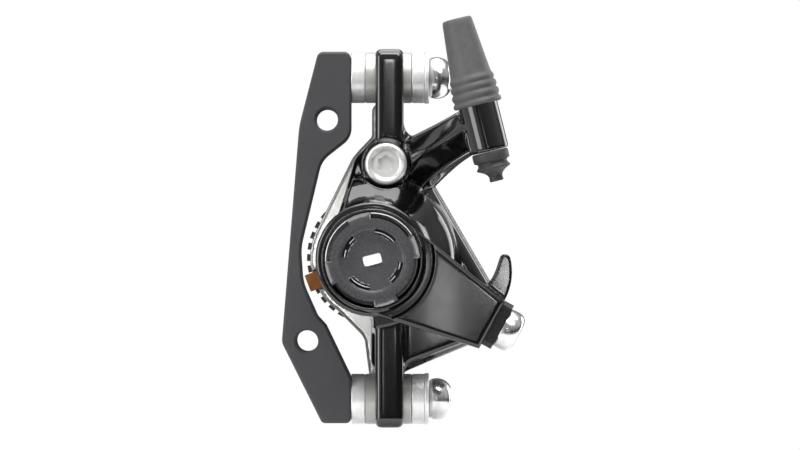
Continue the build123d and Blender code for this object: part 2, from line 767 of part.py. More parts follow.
def ramp_groove(lead_angle):
    """A round bottomed groove that a ball rolls along while the cam turns half the arm's swing."""
    sweep = lead_angle / 2
    start = (ball_circle, 0.0, ball_height)
    x, y = polar(ball_circle, -sweep)
    end = (x, y, ball_height + ramp_rise)
    way = Vector(*end) - Vector(*start)
    tool = Sphere(ball_radius + ball_gap)
    bar = Solid.extrude(Plane(origin=start, z_dir=way) * Circle(ball_radius + ball_gap).face(), way)
    return Pos(*start) * tool + bar + Pos(*end) * tool


def drive_cam():
    """The turning cam: three ramps face the balls, and its hub carries the arm."""
    cam = disc(bore_radius - pad_fit, drive_cam_foot, drive_cam_top)
    cam += disc(hub_nose_radius - running_fit, drive_cam_foot, arm_back)
    cam += disc(arm_bore_radius, drive_cam_foot, cup_floor)
    cam += disc(arm_thread_radius, drive_cam_foot, cup_floor + arm_nut_thickness)
    for step in range(ramp_count):
        cam -= Rot(Z=step * 360 / ramp_count) * ramp_groove(arm_swing)
    return cam - disc(screw_core_radius + running_fit * 2, drive_cam_foot - overrun, arm_front + overrun)


def fixed_cam():
    """The cam seated against the barrel's end wall, with the level race for the balls."""
    cam = ring(bore_radius - running_fit, hub_nose_radius + running_fit, fixed_cam_foot, end_wall_foot)
    race = Pos(0, 0, ball_height) * Torus(ball_circle, ball_radius + ball_gap)
    return cam - race


def ball_cage():
    """The thin ring that keeps the three balls apart."""
    low = fixed_cam_foot - cage_gap - cage_thickness
    cage = ring(bore_radius - pad_fit, hub_nose_radius + cage_gap, low, low + cage_thickness)
    for step in range(ramp_count):
        x, y = polar(ball_circle, step * 360 / ramp_count)
        cage -= Pos(x, y, ball_height) * Sphere(ball_radius + running_fit)
    return cage


def ramp_balls():
    """The three steel balls."""
    places = [polar(ball_circle, step * 360 / ramp_count) for step in range(ramp_count)]
    return [Pos(x, y, ball_height) * Sphere(ball_radius) for x, y in places]


# Adjusters and pads

def adjuster_screw(flange_foot, core_top):
    """The flanged screw: its thread drives the foot, and its core reaches the knob."""
    screw = disc(screw_flange_radius, flange_foot, flange_foot + screw_flange_thickness)
    screw += disc(screw_radius, foot_back, flange_foot)
    screw += disc(screw_core_radius, flange_foot, core_top)
    return screw


def knob_tip(foot, top):
    """The flatted tip of a screw's core."""
    return extrude(flat(foot) * Rot(Z=tip_lean) * RectangleRounded(tip_length, tip_width, tip_width / 4),
                   top - foot)


def pressure_foot(hub_length):
    """The round nut that presses on the pad's back."""
    foot = disc(foot_flange_radius, plate_back, foot_back)
    foot += disc(foot_hub_radius, plate_back, foot_back + hub_length)
    return foot - disc(screw_radius + running_fit, plate_back + foot_floor, foot_back + hub_length + overrun)


def pad_plate():
    """The steel backing plate with the tab that it is pulled out by."""
    outline = Circle(pad_radius)
    middle = polar((pad_tab_reach + pad_radius / 2) / 2, pad_tab_angle)
    outline += Pos(*middle) * Rot(Z=pad_tab_angle) * Rectangle(pad_tab_reach - pad_radius / 2, pad_tab_width)
    return plate(outline, plate_face, plate_back)


def friction_pad():
    """The round lining, with its dust groove."""
    pad = disc(friction_radius, friction_face, plate_face)
    groove = Pos(0, 0, friction_face) * Box(friction_radius * 3, friction_thickness / 2, friction_thickness / 2)
    return pad - groove


def flipped(piece):
    """The same piece on the inboard side of the rotor."""
    return mirror(piece, Plane.XY)


def outboard_knob():
    """The knob in the arm's cup: a disc with four lugs, curved grooves and the screw's slot."""
    knob = disc(knob_disc_radius, knob_floor, knob_top)
    lugs = Sketch()
    for step in range(knob_slot_count):
        middle = knob_slot_first + (step + 0.5) * 360 / knob_slot_count
        lugs += arc_slot(knob_disc_radius / 2, knob_lug_radius, middle, 360 / knob_slot_count * knob_lug_width_share)
    knob += plate(lugs, knob_floor, knob_top)
    knob = fillet(knob.faces().sort_by(Axis.Z)[-1].edges(), knob_inset_depth)
    knob -= disc(knob_inset_radius, knob_top - knob_inset_depth, knob_top + overrun)
    for step in range(knob_slot_count):
        groove = arc_slot(knob_groove_inner, knob_groove_outer, knob_slot_first + step * 360 / knob_slot_count,
                          knob_groove_sweep)
        knob -= plate(groove, knob_top - knob_inset_depth - knob_groove_depth, knob_top)
    slot = RectangleRounded(tip_length + running_fit * 2, tip_width + running_fit * 2, tip_width / 4)
    return knob - extrude(flat(knob_floor - overrun) * Rot(Z=tip_lean) * slot, knob_thickness + 2 * overrun)


def outboard_screw():
    """The outboard adjuster screw, whose tip shows in the knob."""
    screw = adjuster_screw(screw_flange_foot, knob_floor - running_fit)
    return screw + knob_tip(knob_floor - overrun, knob_top - knob_inset_depth * 2)


def arm_nut():
    """The thin hexagon nut that holds the arm on the drive cam."""
    nut = plate(RegularPolygon(arm_nut_width / 2, 6, major_radius=False), cup_floor, cup_floor + arm_nut_thickness)
    return nut - disc(arm_thread_radius + running_fit, cup_floor - overrun, knob_floor + overrun)


def hub_seal():
    """The rubber ring in the barrel's end wall, round the drive cam's hub."""
    foot = end_wall_foot + (seal_height - seal_width) / 2
    return ring(hub_nose_radius + seal_width, hub_nose_radius + soft_fit / 2, foot, foot + seal_width)


def coil_point(turn):
    """The middle of the return spring's wire, and its heading, at a count of turns from its foot."""
    rise = (spring_length - spring_wire) / spring_turns
    x, y = polar(spring_radius, turn * 360)
    heading = Vector(-y, x, rise / (2 * pi)).normalized()
    return Vector(x, y, barrel_height + running_fit + spring_wire / 2 + rise * turn), heading


def biarc(start, start_heading, end, end_heading):
    """Two arcs that leave one point and reach another in given directions."""
    gap = end - start
    both = start_heading + end_heading
    turn = 2 * (1 - start_heading.dot(end_heading))
    reach = (sqrt(gap.dot(both) ** 2 + turn * gap.dot(gap)) - gap.dot(both)) / turn
    first = start + start_heading * reach
    second = end - end_heading * reach
    middle = (first + second) / 2
    return [TangentArc(start, middle, tangent=start_heading), TangentArc(middle, end, tangent=second - first)]


def return_spring():
    """The arm's return spring, one open coil between the barrel and the arm."""
    quarters = spring_turns * 4
    places = [coil_point(step / 4) for step in range(quarters + 1)]
    arcs = []
    for first, second in zip(places, places[1:]):
        arcs += biarc(*first, *second)
    wire = Plane(origin=places[0][0], z_dir=places[0][1]) * Circle(spring_wire / 2)
    return sweep(wire, path=Wire([arc.edge() for arc in arcs]))


def coil_gap():
    """The least gap between two turns of the return spring, measured on points of its middle line."""
    steps = 48
    places = [coil_point(step / steps)[0] for step in range(spring_turns * steps + 1)]
    gaps = [(second - first).length for at, first in enumerate(places) for second in places[at + steps // 2:]]
    return min(gaps) - spring_wire


def pad_spring():
    """The leaf that spreads the pads: two curved legs and the bridge across the rotor's edge."""
    heading = rotor_centre_angle - 180
    leg = arc_slot(leaf_inner, leaf_outer, heading, leaf_sweep)
    neck = Pos(*polar((leaf_inner + leaf_reach) / 2 + leaf_thickness, heading)) * Rot(Z=heading) * Rectangle(
        leaf_reach - leaf_inner, leaf_bridge_width)
    outer = leaf_gap + leaf_thickness
    spring = plate(leg + neck, leaf_gap, outer) + plate(leg + neck, -outer, -leaf_gap)
    bridge = Pos(*polar(leaf_reach + leaf_thickness / 2, heading)) * Rot(Z=heading) * Rectangle(
        leaf_thickness, leaf_bridge_width)
    return spring + plate(bridge, -outer, outer)


def inboard_knob():
    """The toothed wheel behind the inboard half."""
    face = -inboard_height - wheel_gap
    root = wheel_radius * wheel_root_share
    wheel = disc(root, face - wheel_thickness, face)
    pitch = 360 / wheel_teeth
    teeth = Sketch()
    for tooth in range(wheel_teeth):
        teeth += arc_slot(root - pitch / 10, wheel_radius, tooth * pitch, pitch * 0.6)
    wheel += plate(teeth, face - wheel_thickness, face)
    return wheel - disc(screw_core_radius + running_fit, face - wheel_thickness - overrun, face + overrun)


def inboard_screw():
    """The inboard adjuster screw, held by its flange inside the half's end wall."""
    flange_foot = inboard_height - inboard_wall - screw_flange_thickness
    screw = disc(screw_flange_radius, flange_foot, flange_foot + screw_flange_thickness)
    screw += disc(screw_radius, foot_back, inboard_height + wheel_gap)
    screw += disc(screw_core_radius, foot_back, inboard_height + wheel_gap + wheel_thickness - running_fit)
    return flipped(screw)


os.makedirs("parts", exist_ok=True)

keep("frame_bracket", bracket())
keep("caliper_bolts", *[post_bolt(rise) for rise in post_rises])
stacks = [washers_at(rise) for rise in post_rises]
for name in stacks[0]:
    keep(name, *[stack[name] for stack in stacks])
keep("outboard_body", outboard_body())
keep("inboard_body", inboard_body())
keep("body_bolts", body_bolt(body_bolt_place), body_bolt(lower_bolt_place))
keep("upper_cable_boot", upper_boot())
keep("lower_cable_boot", lower_boot())
keep("torque_arm", torque_arm())
keep("arm_nut", arm_nut())
keep("return_spring", return_spring())
keep("hub_seal", hub_seal())
keep("pad_spring", pad_spring())
keep("cable_pinch_plate", pinch_plate())
keep("cable_anchor_bolt", anchor_bolt())
keep("drive_cam", drive_cam())
keep("fixed_cam", fixed_cam())
keep("ball_cage", ball_cage())
keep("ramp_balls", *ramp_balls())
keep("thrust_washer", ring(foot_flange_radius, screw_core_radius + running_fit, thrust_foot, drive_cam_foot))
keep("outboard_knob", outboard_knob())
keep("outboard_screw", outboard_screw())
keep("inboard_knob", inboard_knob())
keep("inboard_screw", inboard_screw())
keep("outboard_foot", pressure_foot(foot_hub_length))
keep("inboard_foot", flipped(pressure_foot(inboard_foot_hub_length)))
keep("outboard_pad_plate", pad_plate())
keep("inboard_pad_plate", flipped(pad_plate()))
keep("outboard_friction_pad", friction_pad())
keep("inboard_friction_pad", flipped(friction_pad()))

print("least gap in the return spring, mm:", round(coil_gap(), 2))
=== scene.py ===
import bpy
from math import atan2, cos, degrees, pi, radians, sin
from mathutils import Matrix, Vector


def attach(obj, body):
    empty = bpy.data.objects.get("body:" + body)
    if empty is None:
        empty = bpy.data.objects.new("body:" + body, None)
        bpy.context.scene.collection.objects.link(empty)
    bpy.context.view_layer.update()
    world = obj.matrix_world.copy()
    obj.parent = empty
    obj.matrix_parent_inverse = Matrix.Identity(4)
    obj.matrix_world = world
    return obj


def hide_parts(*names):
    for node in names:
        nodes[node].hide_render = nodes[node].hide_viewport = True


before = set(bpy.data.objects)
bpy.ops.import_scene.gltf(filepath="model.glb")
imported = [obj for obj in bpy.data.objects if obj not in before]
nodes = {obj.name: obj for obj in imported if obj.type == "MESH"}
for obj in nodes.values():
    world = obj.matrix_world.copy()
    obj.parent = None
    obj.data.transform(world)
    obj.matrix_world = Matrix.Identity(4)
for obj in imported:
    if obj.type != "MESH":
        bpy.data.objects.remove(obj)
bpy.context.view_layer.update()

MM = 0.001

# Places on the caliper, in millimetres: x right, h up, depths outboard of the rotor's middle plane
POST_DEPTH = 11.0
POST_RISES = (41.65, -32.35)
EAR_RIGHT = 7.0
OUTER_WASHER_STACK = 5.85
ARM_LEAN = 28.5
ANCHOR_SEAT = (29.0, -15.12)
CABLE_DEPTH = 36.0
CABLE_FOOT = (27.9, 17.6)
CABLE_LEAN = 14.0
UPPER_BOOT_REACH = 17.5
SEAL_DEPTH = 27.05
KNOB_FLOOR = 38.3
SCREW_TIP_DEPTH = 39.0
BODY_BOLTS = ((2.967, 21.667), (22.6, -12.602))
BOSS_TOP = 18.0
JOINT_DEPTH = 0.6


# Materials

def new_material(name):
    """An empty node material with its Principled shader and output."""
    material = bpy.data.materials.new(name)
    material.use_nodes = True
    tree = material.node_tree
    tree.nodes.clear()
    shader = tree.nodes.new("ShaderNodeBsdfPrincipled")
    out = tree.nodes.new("ShaderNodeOutputMaterial")
    tree.links.new(shader.outputs["BSDF"], out.inputs["Surface"])
    return material, tree, shader


def object_place(tree, scale=(1, 1, 1)):
    """Object coordinates through a mapping."""
    place = tree.nodes.new("ShaderNodeTexCoord")
    mapping = tree.nodes.new("ShaderNodeMapping")
    mapping.inputs["Scale"].default_value = scale
    tree.links.new(place.outputs["Object"], mapping.inputs["Vector"])
    return mapping.outputs["Vector"]


def noise(tree, place, size_mm, detail=3.0, rough=0.55):
    """A noise whose features are about this many millimetres across."""
    node = tree.nodes.new("ShaderNodeTexNoise")
    node.inputs["Scale"].default_value = 1.0 / (size_mm * MM)
    node.inputs["Detail"].default_value = detail
    node.inputs["Roughness"].default_value = rough
    tree.links.new(place, node.inputs["Vector"])
    return node.outputs["Fac"]


def ramp(tree, value, stops):
    """A colour ramp from (place, colour or grey) stops."""
    node = tree.nodes.new("ShaderNodeValToRGB")
    elements = node.color_ramp.elements
    while len(elements) < len(stops):
        elements.new(0.5)
    for element, (place, colour) in zip(elements, stops):
        element.position = place
        if isinstance(colour, (int, float)):
            colour = (colour, colour, colour)
        element.color = (*colour, 1.0)
    tree.links.new(value, node.inputs["Fac"])
    return node.outputs["Color"]


def grade(tree, shader, socket, value, stops):
    """Leads a value through a colour ramp to one of the shader's sockets."""
    tree.links.new(ramp(tree, value, stops), shader.inputs[socket])


def blend(tree, first, second, kind="MIX", factor=1.0):
    """Mixes two colours; each of them, and the factor, is a plain value or a node's output."""
    node = tree.nodes.new("ShaderNodeMix")
    node.data_type = "RGBA"
    node.blend_type = kind
    for socket, value in (("Factor", factor), ("A", first), ("B", second)):
        if isinstance(value, bpy.types.NodeSocket):
            tree.links.new(value, node.inputs[socket])
        else:
            node.inputs[socket].default_value = value
    return node.outputs["Result"]


def bump(tree, shader, height, depth_mm, below=None):
    """Relief of a depth in millimetres, on top of another relief if one is given."""
    node = tree.nodes.new("ShaderNodeBump")
    node.inputs["Distance"].default_value = depth_mm * MM
    node.inputs["Strength"].default_value = 1.0
    tree.links.new(height, node.inputs["Height"])
    if below is not None:
        tree.links.new(below, node.inputs["Normal"])
    tree.links.new(node.outputs["Normal"], shader.inputs["Normal"])
    return node.outputs["Normal"]


def painted_casting(name, colour, rough_low, rough_high, coat, shine):
    """Gloss paint over a casting: a faint ripple, cloudy colour and uneven sheen."""
    material, tree, shader = new_material(name)
    place = object_place(tree)
    cloud = noise(tree, place, 7.0, 4.0)
    light = tuple(share * 1.5 for share in colour)
    grade(tree, shader, "Base Color", cloud, [(0.3, colour), (0.75, light)])
    grade(tree, shader, "Roughness", noise(tree, place, 2.3, 5.0), [(0.3, rough_low), (0.8, rough_high)])
    shader.inputs["Specular IOR Level"].default_value = shine
    shader.inputs["Coat Weight"].default_value = coat
    shader.inputs["Coat Roughness"].default_value = 0.05
    bump(tree, shader, noise(tree, place, 2.2, 2.0), 0.004)
    return material


def powder_coat(name, colour, light, rough):
    """Matte grained coating on the bracket."""
    material, tree, shader = new_material(name)
    place = object_place(tree)
    grain = noise(tree, place, 0.28, 6.0, 0.65)
    cloud = noise(tree, place, 12.0, 3.0)
    grained = ramp(tree, grain, [(0.25, colour), (0.8, light)])
    clouded = blend(tree, grained, ramp(tree, cloud, [(0.3, 0.86), (0.75, 1.0)]), "MULTIPLY")
    tree.links.new(clouded, shader.inputs["Base Color"])
    grade(tree, shader, "Roughness", grain, [(0.2, rough - 0.08), (0.8, rough + 0.08)])
    shader.inputs["Specular IOR Level"].default_value = 0.3
    first = bump(tree, shader, grain, 0.012)
    bump(tree, shader, noise(tree, place, 0.08, 3.0), 0.004, below=first)
    return material


def turned_metal(name, colour, dark, rough, axis="X", line_mm=0.09, depth=0.003, bare=1.0):
    """Machined metal with fine lines round an axis, and cloudy tarnish."""
    material, tree, shader = new_material(name)
    stretch = {"X": (1.0, 0.06, 0.06), "Y": (0.06, 1.0, 0.06)}[axis]
    lines = noise(tree, object_place(tree, stretch), line_mm, 3.0, 0.6)
    place = object_place(tree)
    cloud = noise(tree, place, 3.1, 4.0)
    tarnish = ramp(tree, cloud, [(0.25, dark), (0.6, colour)])
    turned = blend(tree, tarnish, ramp(tree, lines, [(0.3, 0.84), (0.65, 1.0)]), "MULTIPLY", 0.8)
    tree.links.new(turned, shader.inputs["Base Color"])
    shader.inputs["Metallic"].default_value = bare
    grade(tree, shader, "Roughness", lines, [(0.25, rough * 0.75), (0.75, rough * 1.3)])
    bump(tree, shader, lines, depth)
    return material


def soft_rubber(name, colour, light):
    """Matte moulded rubber with a fine grain and a little bloom."""
    material, tree, shader = new_material(name)
    place = object_place(tree)
    grade(tree, shader, "Base Color", noise(tree, place, 1.7, 6.0, 0.6), [(0.25, colour), (0.75, light)])
    grade(tree, shader, "Roughness", noise(tree, place, 0.5, 4.0), [(0.3, 0.5), (0.8, 0.66)])
    shader.inputs["Sheen Weight"].default_value = 0.12
    shader.inputs["Sheen Roughness"].default_value = 0.4
    first = bump(tree, shader, noise(tree, place, 0.16, 4.0), 0.008)
    bump(tree, shader, noise(tree, place, 0.9, 3.0), 0.02, below=first)
    return material


def moulded_plastic(name, colour, light, rough):
    """Fine grained moulded plastic."""
    material, tree, shader = new_material(name)
    place = object_place(tree)
    grade(tree, shader, "Base Color", noise(tree, place, 2.6, 5.0), [(0.25, colour), (0.8, light)])
    grade(tree, shader, "Roughness", noise(tree, place, 0.6, 4.0), [(0.3, rough - 0.05), (0.8, rough + 0.06)])
    first = bump(tree, shader, noise(tree, place, 0.3, 3.0), 0.002)
    bump(tree, shader, noise(tree, place, 1.8, 2.0), 0.004, below=first)
    return material


def tipped_steel(name, colour, tip_colour, tip_depth):
    """Ground steel whose tip, outboard of a depth in millimetres, is plated almost white."""
    material, tree, shader = new_material(name)
    place = object_place(tree)
    split = tree.nodes.new("ShaderNodeSeparateXYZ")
    tree.links.new(place, split.inputs["Vector"])
    beyond = tree.nodes.new("ShaderNodeMath")
    beyond.operation = "LESS_THAN"
    beyond.inputs[1].default_value = -tip_depth * MM
    tree.links.new(split.outputs["Y"], beyond.inputs[0])
    dull = tuple(share * 0.8 for share in colour)
    ground = ramp(tree, noise(tree, place, 1.1, 4.0), [(0.3, dull), (0.7, colour)])
    tipped = blend(tree, ground, (*tip_colour, 1.0), factor=beyond.outputs["Value"])
    tree.links.new(tipped, shader.inputs["Base Color"])
    grade(tree, shader, "Metallic", beyond.outputs["Value"], [(0.0, 1.0), (1.0, 0.15)])
    grade(tree, shader, "Roughness", noise(tree, place, 0.4, 4.0), [(0.3, 0.24), (0.8, 0.36)])
    return material


def machined_casting(name, paint, bare):
    """Gloss paint all over but for the machined faces, which the piece's own attribute marks."""
    material, tree, shader = new_material(name)
    place = object_place(tree)
    mark = tree.nodes.new("ShaderNodeAttribute")
    mark.attribute_name = "machined"
    edge = tree.nodes.new("ShaderNodeMapRange")
    tree.links.new(mark.outputs["Fac"], edge.inputs["Value"])
    dull = tuple(share * 0.9 for share in bare)
    cuts = noise(tree, object_place(tree, (1, 1, 0.1)), 0.3, 4.0)
    milled = ramp(tree, cuts, [(0.3, dull), (0.7, bare)])
    colour = blend(tree, (*paint, 1.0), milled, factor=edge.outputs["Result"])
    tree.links.new(colour, shader.inputs["Base Color"])
    grade(tree, shader, "Metallic", edge.outputs["Result"], [(0.0, 0.0), (1.0, 0.7)])
    grade(tree, shader, "Roughness", edge.outputs["Result"], [(0.0, 0.22), (1.0, 0.14)])
    grade(tree, shader, "Coat Weight", edge.outputs["Result"], [(0.0, 0.6), (1.0, 0.0)])
    shader.inputs["Coat Roughness"].default_value = 0.06
    bump(tree, shader, noise(tree, place, 2.0, 2.0), 0.003)
    return material


def lining_compound(name):
    """Dark friction lining with bright flecks."""
    material, tree, shader = new_material(name)
    place = object_place(tree)
    flecks = ramp(tree, noise(tree, place, 0.25, 5.0, 0.7),
                  [(0.0, (0.03, 0.026, 0.022)), (0.55, (0.06, 0.052, 0.045)), (0.68, (0.32, 0.2, 0.1))])
    tree.links.new(flecks, shader.inputs["Base Color"])
    shader.inputs["Roughness"].default_value = 0.85
    bump(tree, shader, noise(tree, place, 0.3, 5.0), 0.05)
    return material


gloss_black = painted_casting("gloss_black_paint", (0.003, 0.003, 0.0034), 0.09, 0.14, 0.6, 0.5)
arm_gloss = painted_casting("arm_gloss_black", (0.003, 0.003, 0.0034), 0.09, 0.12, 0.3, 0.6)
bracket_coat = powder_coat("bracket_matte_black", (0.05, 0.05, 0.0525), (0.068, 0.068, 0.0715), 0.55)
washer_light = turned_metal("washer_turned_silver", (0.86, 0.86, 0.85), (0.76, 0.76, 0.76), 0.34, bare=0.55)
washer_grey = turned_metal("washer_turned_grey", (0.5, 0.5, 0.48), (0.42, 0.42, 0.4), 0.36, bare=0.5)
bolt_bright = turned_metal("bolt_bright_steel", (0.74, 0.74, 0.745), (0.6, 0.6, 0.605), 0.2, "X",
                           0.2, 0.001)
body_bolt_bright = turned_metal("body_bolt_steel", (0.9, 0.9, 0.88), (0.8, 0.8, 0.78), 0.3, "Y", 0.2, 0.001,
                                bare=0.6)
cam_steel = turned_metal("cam_ground_steel", (0.55, 0.55, 0.56), (0.42, 0.42, 0.43), 0.28, "Y")
spring_steel = turned_metal("spring_steel_wire", (0.42, 0.42, 0.43), (0.3, 0.3, 0.31), 0.3, "Y")
ball_steel = turned_metal("ball_polished_steel", (0.8, 0.8, 0.82), (0.74, 0.74, 0.76), 0.07,
                          "Y", 0.5, 0.0005)
cage_brass = turned_metal("cage_rolled_brass", (0.72, 0.52, 0.25), (0.55, 0.38, 0.17), 0.3, "Y")
plate_dark = turned_metal("pinch_plate_black_oxide", (0.018, 0.018, 0.019), (0.011, 0.011, 0.0115), 0.3,
                          bare=0.3)
copper_plate = turned_metal("backing_plate_copper", (0.72, 0.27, 0.075), (0.52, 0.17, 0.04), 0.45, "X",
                            0.3, 0.006, bare=0.4)
boot_rubber = soft_rubber("boot_grey_rubber", (0.07, 0.07, 0.0715), (0.094, 0.094, 0.096))
nipple_rubber = soft_rubber("nipple_dark_rubber", (0.024, 0.024, 0.0243), (0.034, 0.034, 0.0344))
seal_rubber_and_slot_shade = soft_rubber("seal_black_rubber_and_slot_shade", (0.02, 0.02, 0.021), (0.03, 0.03, 0.031))
knob_plastic = moulded_plastic("knob_charcoal_plastic", (0.046, 0.046, 0.049), (0.06, 0.06, 0.064), 0.28)
wheel_plastic = moulded_plastic("wheel_charcoal_plastic", (0.026, 0.026, 0.028), (0.036, 0.036, 0.039), 0.42)
pad_lining = lining_compound("pad_lining")
joint_casting = machined_casting("machined_joint_casting", (0.003, 0.003, 0.0033), (0.95, 0.95, 0.92))
# Near-white steel for the knob's spring wires, and for the ring that paints the highlight of the cup's rim
clip_wire_and_rim_highlight = turned_metal("knob_clip_wire_and_rim_highlight", (0.9, 0.9, 0.9), (0.8, 0.8, 0.8), 0.3, "Y", 0.3, 0.0005, bare=0.4)
screw_steel = tipped_steel("screw_steel_with_bright_tip", (0.55, 0.55, 0.56), (0.93, 0.93, 0.94),
                           SCREW_TIP_DEPTH)

finish_of = {
    "frame_bracket": bracket_coat, "caliper_bolts": bolt_bright, "inner_cup_washers": washer_light,
    "inner_ball_washers": washer_grey, "outer_ball_washers": washer_grey, "outer_cup_washers": washer_light,
    "flat_washers": washer_light, "outboard_body": gloss_black, "inboard_body": joint_casting,
    "body_bolts": body_bolt_bright, "upper_cable_boot": boot_rubber, "lower_cable_boot": nipple_rubber,
    "torque_arm": arm_gloss, "arm_nut": cam_steel, "return_spring": spring_steel, "hub_seal": seal_rubber_and_slot_shade,
    "pad_spring": spring_steel, "cable_pinch_plate": plate_dark, "cable_anchor_bolt": bolt_bright,
    "drive_cam": cam_steel, "fixed_cam": cam_steel, "ball_cage": cage_brass, "ramp_balls": ball_steel,
    "thrust_washer": cam_steel, "outboard_knob": knob_plastic, "outboard_screw": screw_steel,
    "inboard_knob": wheel_plastic, "inboard_screw": cam_steel, "outboard_foot": cam_steel,
    "inboard_foot": cam_steel, "outboard_pad_plate": copper_plate, "inboard_pad_plate": copper_plate,
    "outboard_friction_pad": pad_lining, "inboard_friction_pad": pad_lining,
}
for name, node in nodes.items():
    node.data.materials.clear()
    node.data.materials.append(finish_of[name])


# Modelling steps that several pieces share

def pick_only(piece):
    """Leaves one piece selected and active, in object mode."""
    if bpy.context.object and bpy.context.object.mode != "OBJECT":
        bpy.ops.object.mode_set(mode="OBJECT")
    bpy.ops.object.select_all(action="DESELECT")
    piece.select_set(True)
    bpy.context.view_layer.objects.active = piece


def apply_modifier(piece, kind, **settings):
    """Adds one modifier with its settings and applies it."""
    pick_only(piece)
    modifier = piece.modifiers.new(kind.lower(), kind)
    for setting, value in settings.items():
        setattr(modifier, setting, value)
    bpy.ops.object.modifier_apply(modifier=modifier.name)


def bake_place():
    """Bakes the active piece's place, turn and scale into its mesh."""
    bpy.ops.object.transform_apply(location=True, rotation=True, scale=True)


def bar(sides, radius, length, middle):
    """An upright bar with some sides, about a middle place in millimetres."""
    bpy.ops.object.select_all(action="DESELECT")
    bpy.ops.mesh.primitive_cylinder_add(vertices=sides, radius=radius * MM, depth=length * MM,
                                        location=Vector(middle) * MM)
    bake_place()
    return bpy.context.object


def lathe(name, rings, finish, sides=72, closed=False):
    """A turned piece about its own Z through (radius, height) rings; a closed one is a hollow ring."""
    bpy.ops.object.select_all(action="DESELECT")
    radius, height = rings[0]
    bpy.ops.mesh.primitive_circle_add(vertices=sides, radius=radius * MM, location=(0, 0, height * MM),
                                      fill_type="NOTHING" if closed else "NGON")
    piece = bpy.context.object
    piece.name = piece.data.name = name
    bake_place()
    bpy.ops.object.mode_set(mode="EDIT")
    bpy.ops.mesh.select_all(action="SELECT")
    steps = rings[1:] + (rings[:1] if closed else [])
    for next_radius, next_height in steps:
        if closed:
            bpy.ops.mesh.extrude_edges_move()
        else:
            bpy.ops.mesh.extrude_region_move()
        bpy.ops.transform.translate(value=(0, 0, (next_height - height) * MM))
        share = next_radius / radius
        bpy.ops.transform.resize(value=(share, share, 1), center_override=(0, 0, next_height * MM))
        radius, height = next_radius, next_height
    bpy.ops.mesh.select_all(action="SELECT")
    bpy.ops.mesh.remove_doubles(threshold=0.002 * MM)
    bpy.ops.mesh.normals_make_consistent(inside=False)
    bpy.ops.object.mode_set(mode="OBJECT")
    piece.data.materials.clear()
    piece.data.materials.append(finish)
    return piece


def stand(piece, origin, along, up=(0, 0, 1)):
    """Turns a piece's own Z along a direction, carries it to a place in millimetres and bakes both."""
    z = Vector(along).normalized()
    x = Vector(up).cross(z).normalized()
    y = z.cross(x)
    turn = Matrix((x, y, z)).transposed().to_4x4()
    pick_only(piece)
    piece.matrix_world = Matrix.Translation(Vector(origin) * MM) @ turn
    bake_place()
    return piece


def smooth(piece, angle):
    """Smooth shading that keeps the edges sharper than an angle in degrees."""
    pick_only(piece)
    bpy.ops.object.shade_smooth_by_angle(angle=radians(angle))
    return piece


def join(pieces, name):
    """One object of several finished ones."""
    pick_only(pieces[0])
    for piece in pieces[1:]:
        piece.select_set(True)
    bpy.ops.object.join()
    joined = bpy.context.object
    joined.name = joined.data.name = name
    return joined


def sector(piece, middle, sweep):
    """Keeps only the part of a turned piece within a sweep, in degrees, about its own Z."""
    pick_only(piece)
    bpy.ops.object.mode_set(mode="EDIT")
    for edge, side in ((middle - sweep / 2, 1), (middle + sweep / 2, -1)):
        across = radians(edge + 90 * side)
        bpy.ops.mesh.select_all(action="SELECT")
        bpy.ops.mesh.bisect(plane_co=(0, 0, 0), plane_no=(cos(across), sin(across), 0), use_fill=True,
                            clear_inner=True)
    bpy.ops.object.mode_set(mode="OBJECT")
    return piece


def combine(piece, other, operation):
    """Fuses another solid to a piece or cuts it away, and clears it."""
    apply_modifier(piece, "BOOLEAN", object=other, operation=operation, solver="EXACT")
    bpy.data.objects.remove(other)
    return piece


body_of = {
    "caliper_bolts": "bracket", "outboard_body": "caliper", "inboard_body": "caliper", "body_bolts": "caliper",
    "hub_seal": "caliper", "upper_cable_boot": "caliper", "lower_cable_boot": "caliper", "torque_arm": "arm",
    "cable_anchor_bolt": "arm", "outboard_knob": "outboard_adjuster",
}


def stand_in_for(piece, node):
    """The finished piece takes a CAD node's place and moves with its body."""
    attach(piece, body_of[node])
    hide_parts(node)


def cable_place(reach):
    """A place on the cable's line, at a reach up from the lower boot's tip."""
    lean = radians(CABLE_LEAN)
    x, h = CABLE_FOOT
    return (x - reach * sin(lean), -CABLE_DEPTH, h + reach * cos(lean))


CABLE_WAY = (-sin(radians(CABLE_LEAN)), 0, cos(radians(CABLE_LEAN)))
OUTBOARD = (0, -1, 0)


# Rubber boots and seal

def upper_boot():
    """The tapered boot: soft ribs at its foot, a plain cone, a rolled lip and the housing's way in."""
    rings = [(4.56, 0.0), (5.1, 0.02), (5.42, 0.2), (5.5, 0.55), (5.42, 0.95), (5.14, 1.25), (5.06, 1.5),
             (5.16, 1.75), (5.36, 2.05), (5.42, 2.45), (5.34, 2.85), (5.04, 3.2), (4.96, 3.42),
             (5.06, 3.65), (5.24, 3.9), (5.3, 4.25), (5.2, 4.65), (4.92, 5.0), (4.86, 5.2), (4.96, 5.45),
             (5.08, 5.7), (5.1, 6.0), (4.98, 6.35), (4.74, 6.75), (4.64, 7.2), (4.56, 7.9), (4.26, 10.6),
             (3.88, 14.5), (3.48, 18.6), (3.4, 19.3), (3.28, 19.7), (3.06, 19.93), (2.8, 19.96),
             (2.64, 19.85), (2.6, 19.5), (2.6, 11.0), (2.6, 1.75), (3.4, 1.7), (4.45, 1.68), (4.56, 1.6)]
    boot = lathe("ribbed_upper_boot", rings, boot_rubber, sides=96, closed=True)
    stand(boot, cable_place(UPPER_BOOT_REACH), CABLE_WAY, up=OUTBOARD)
    smooth(boot, 70)
    return boot


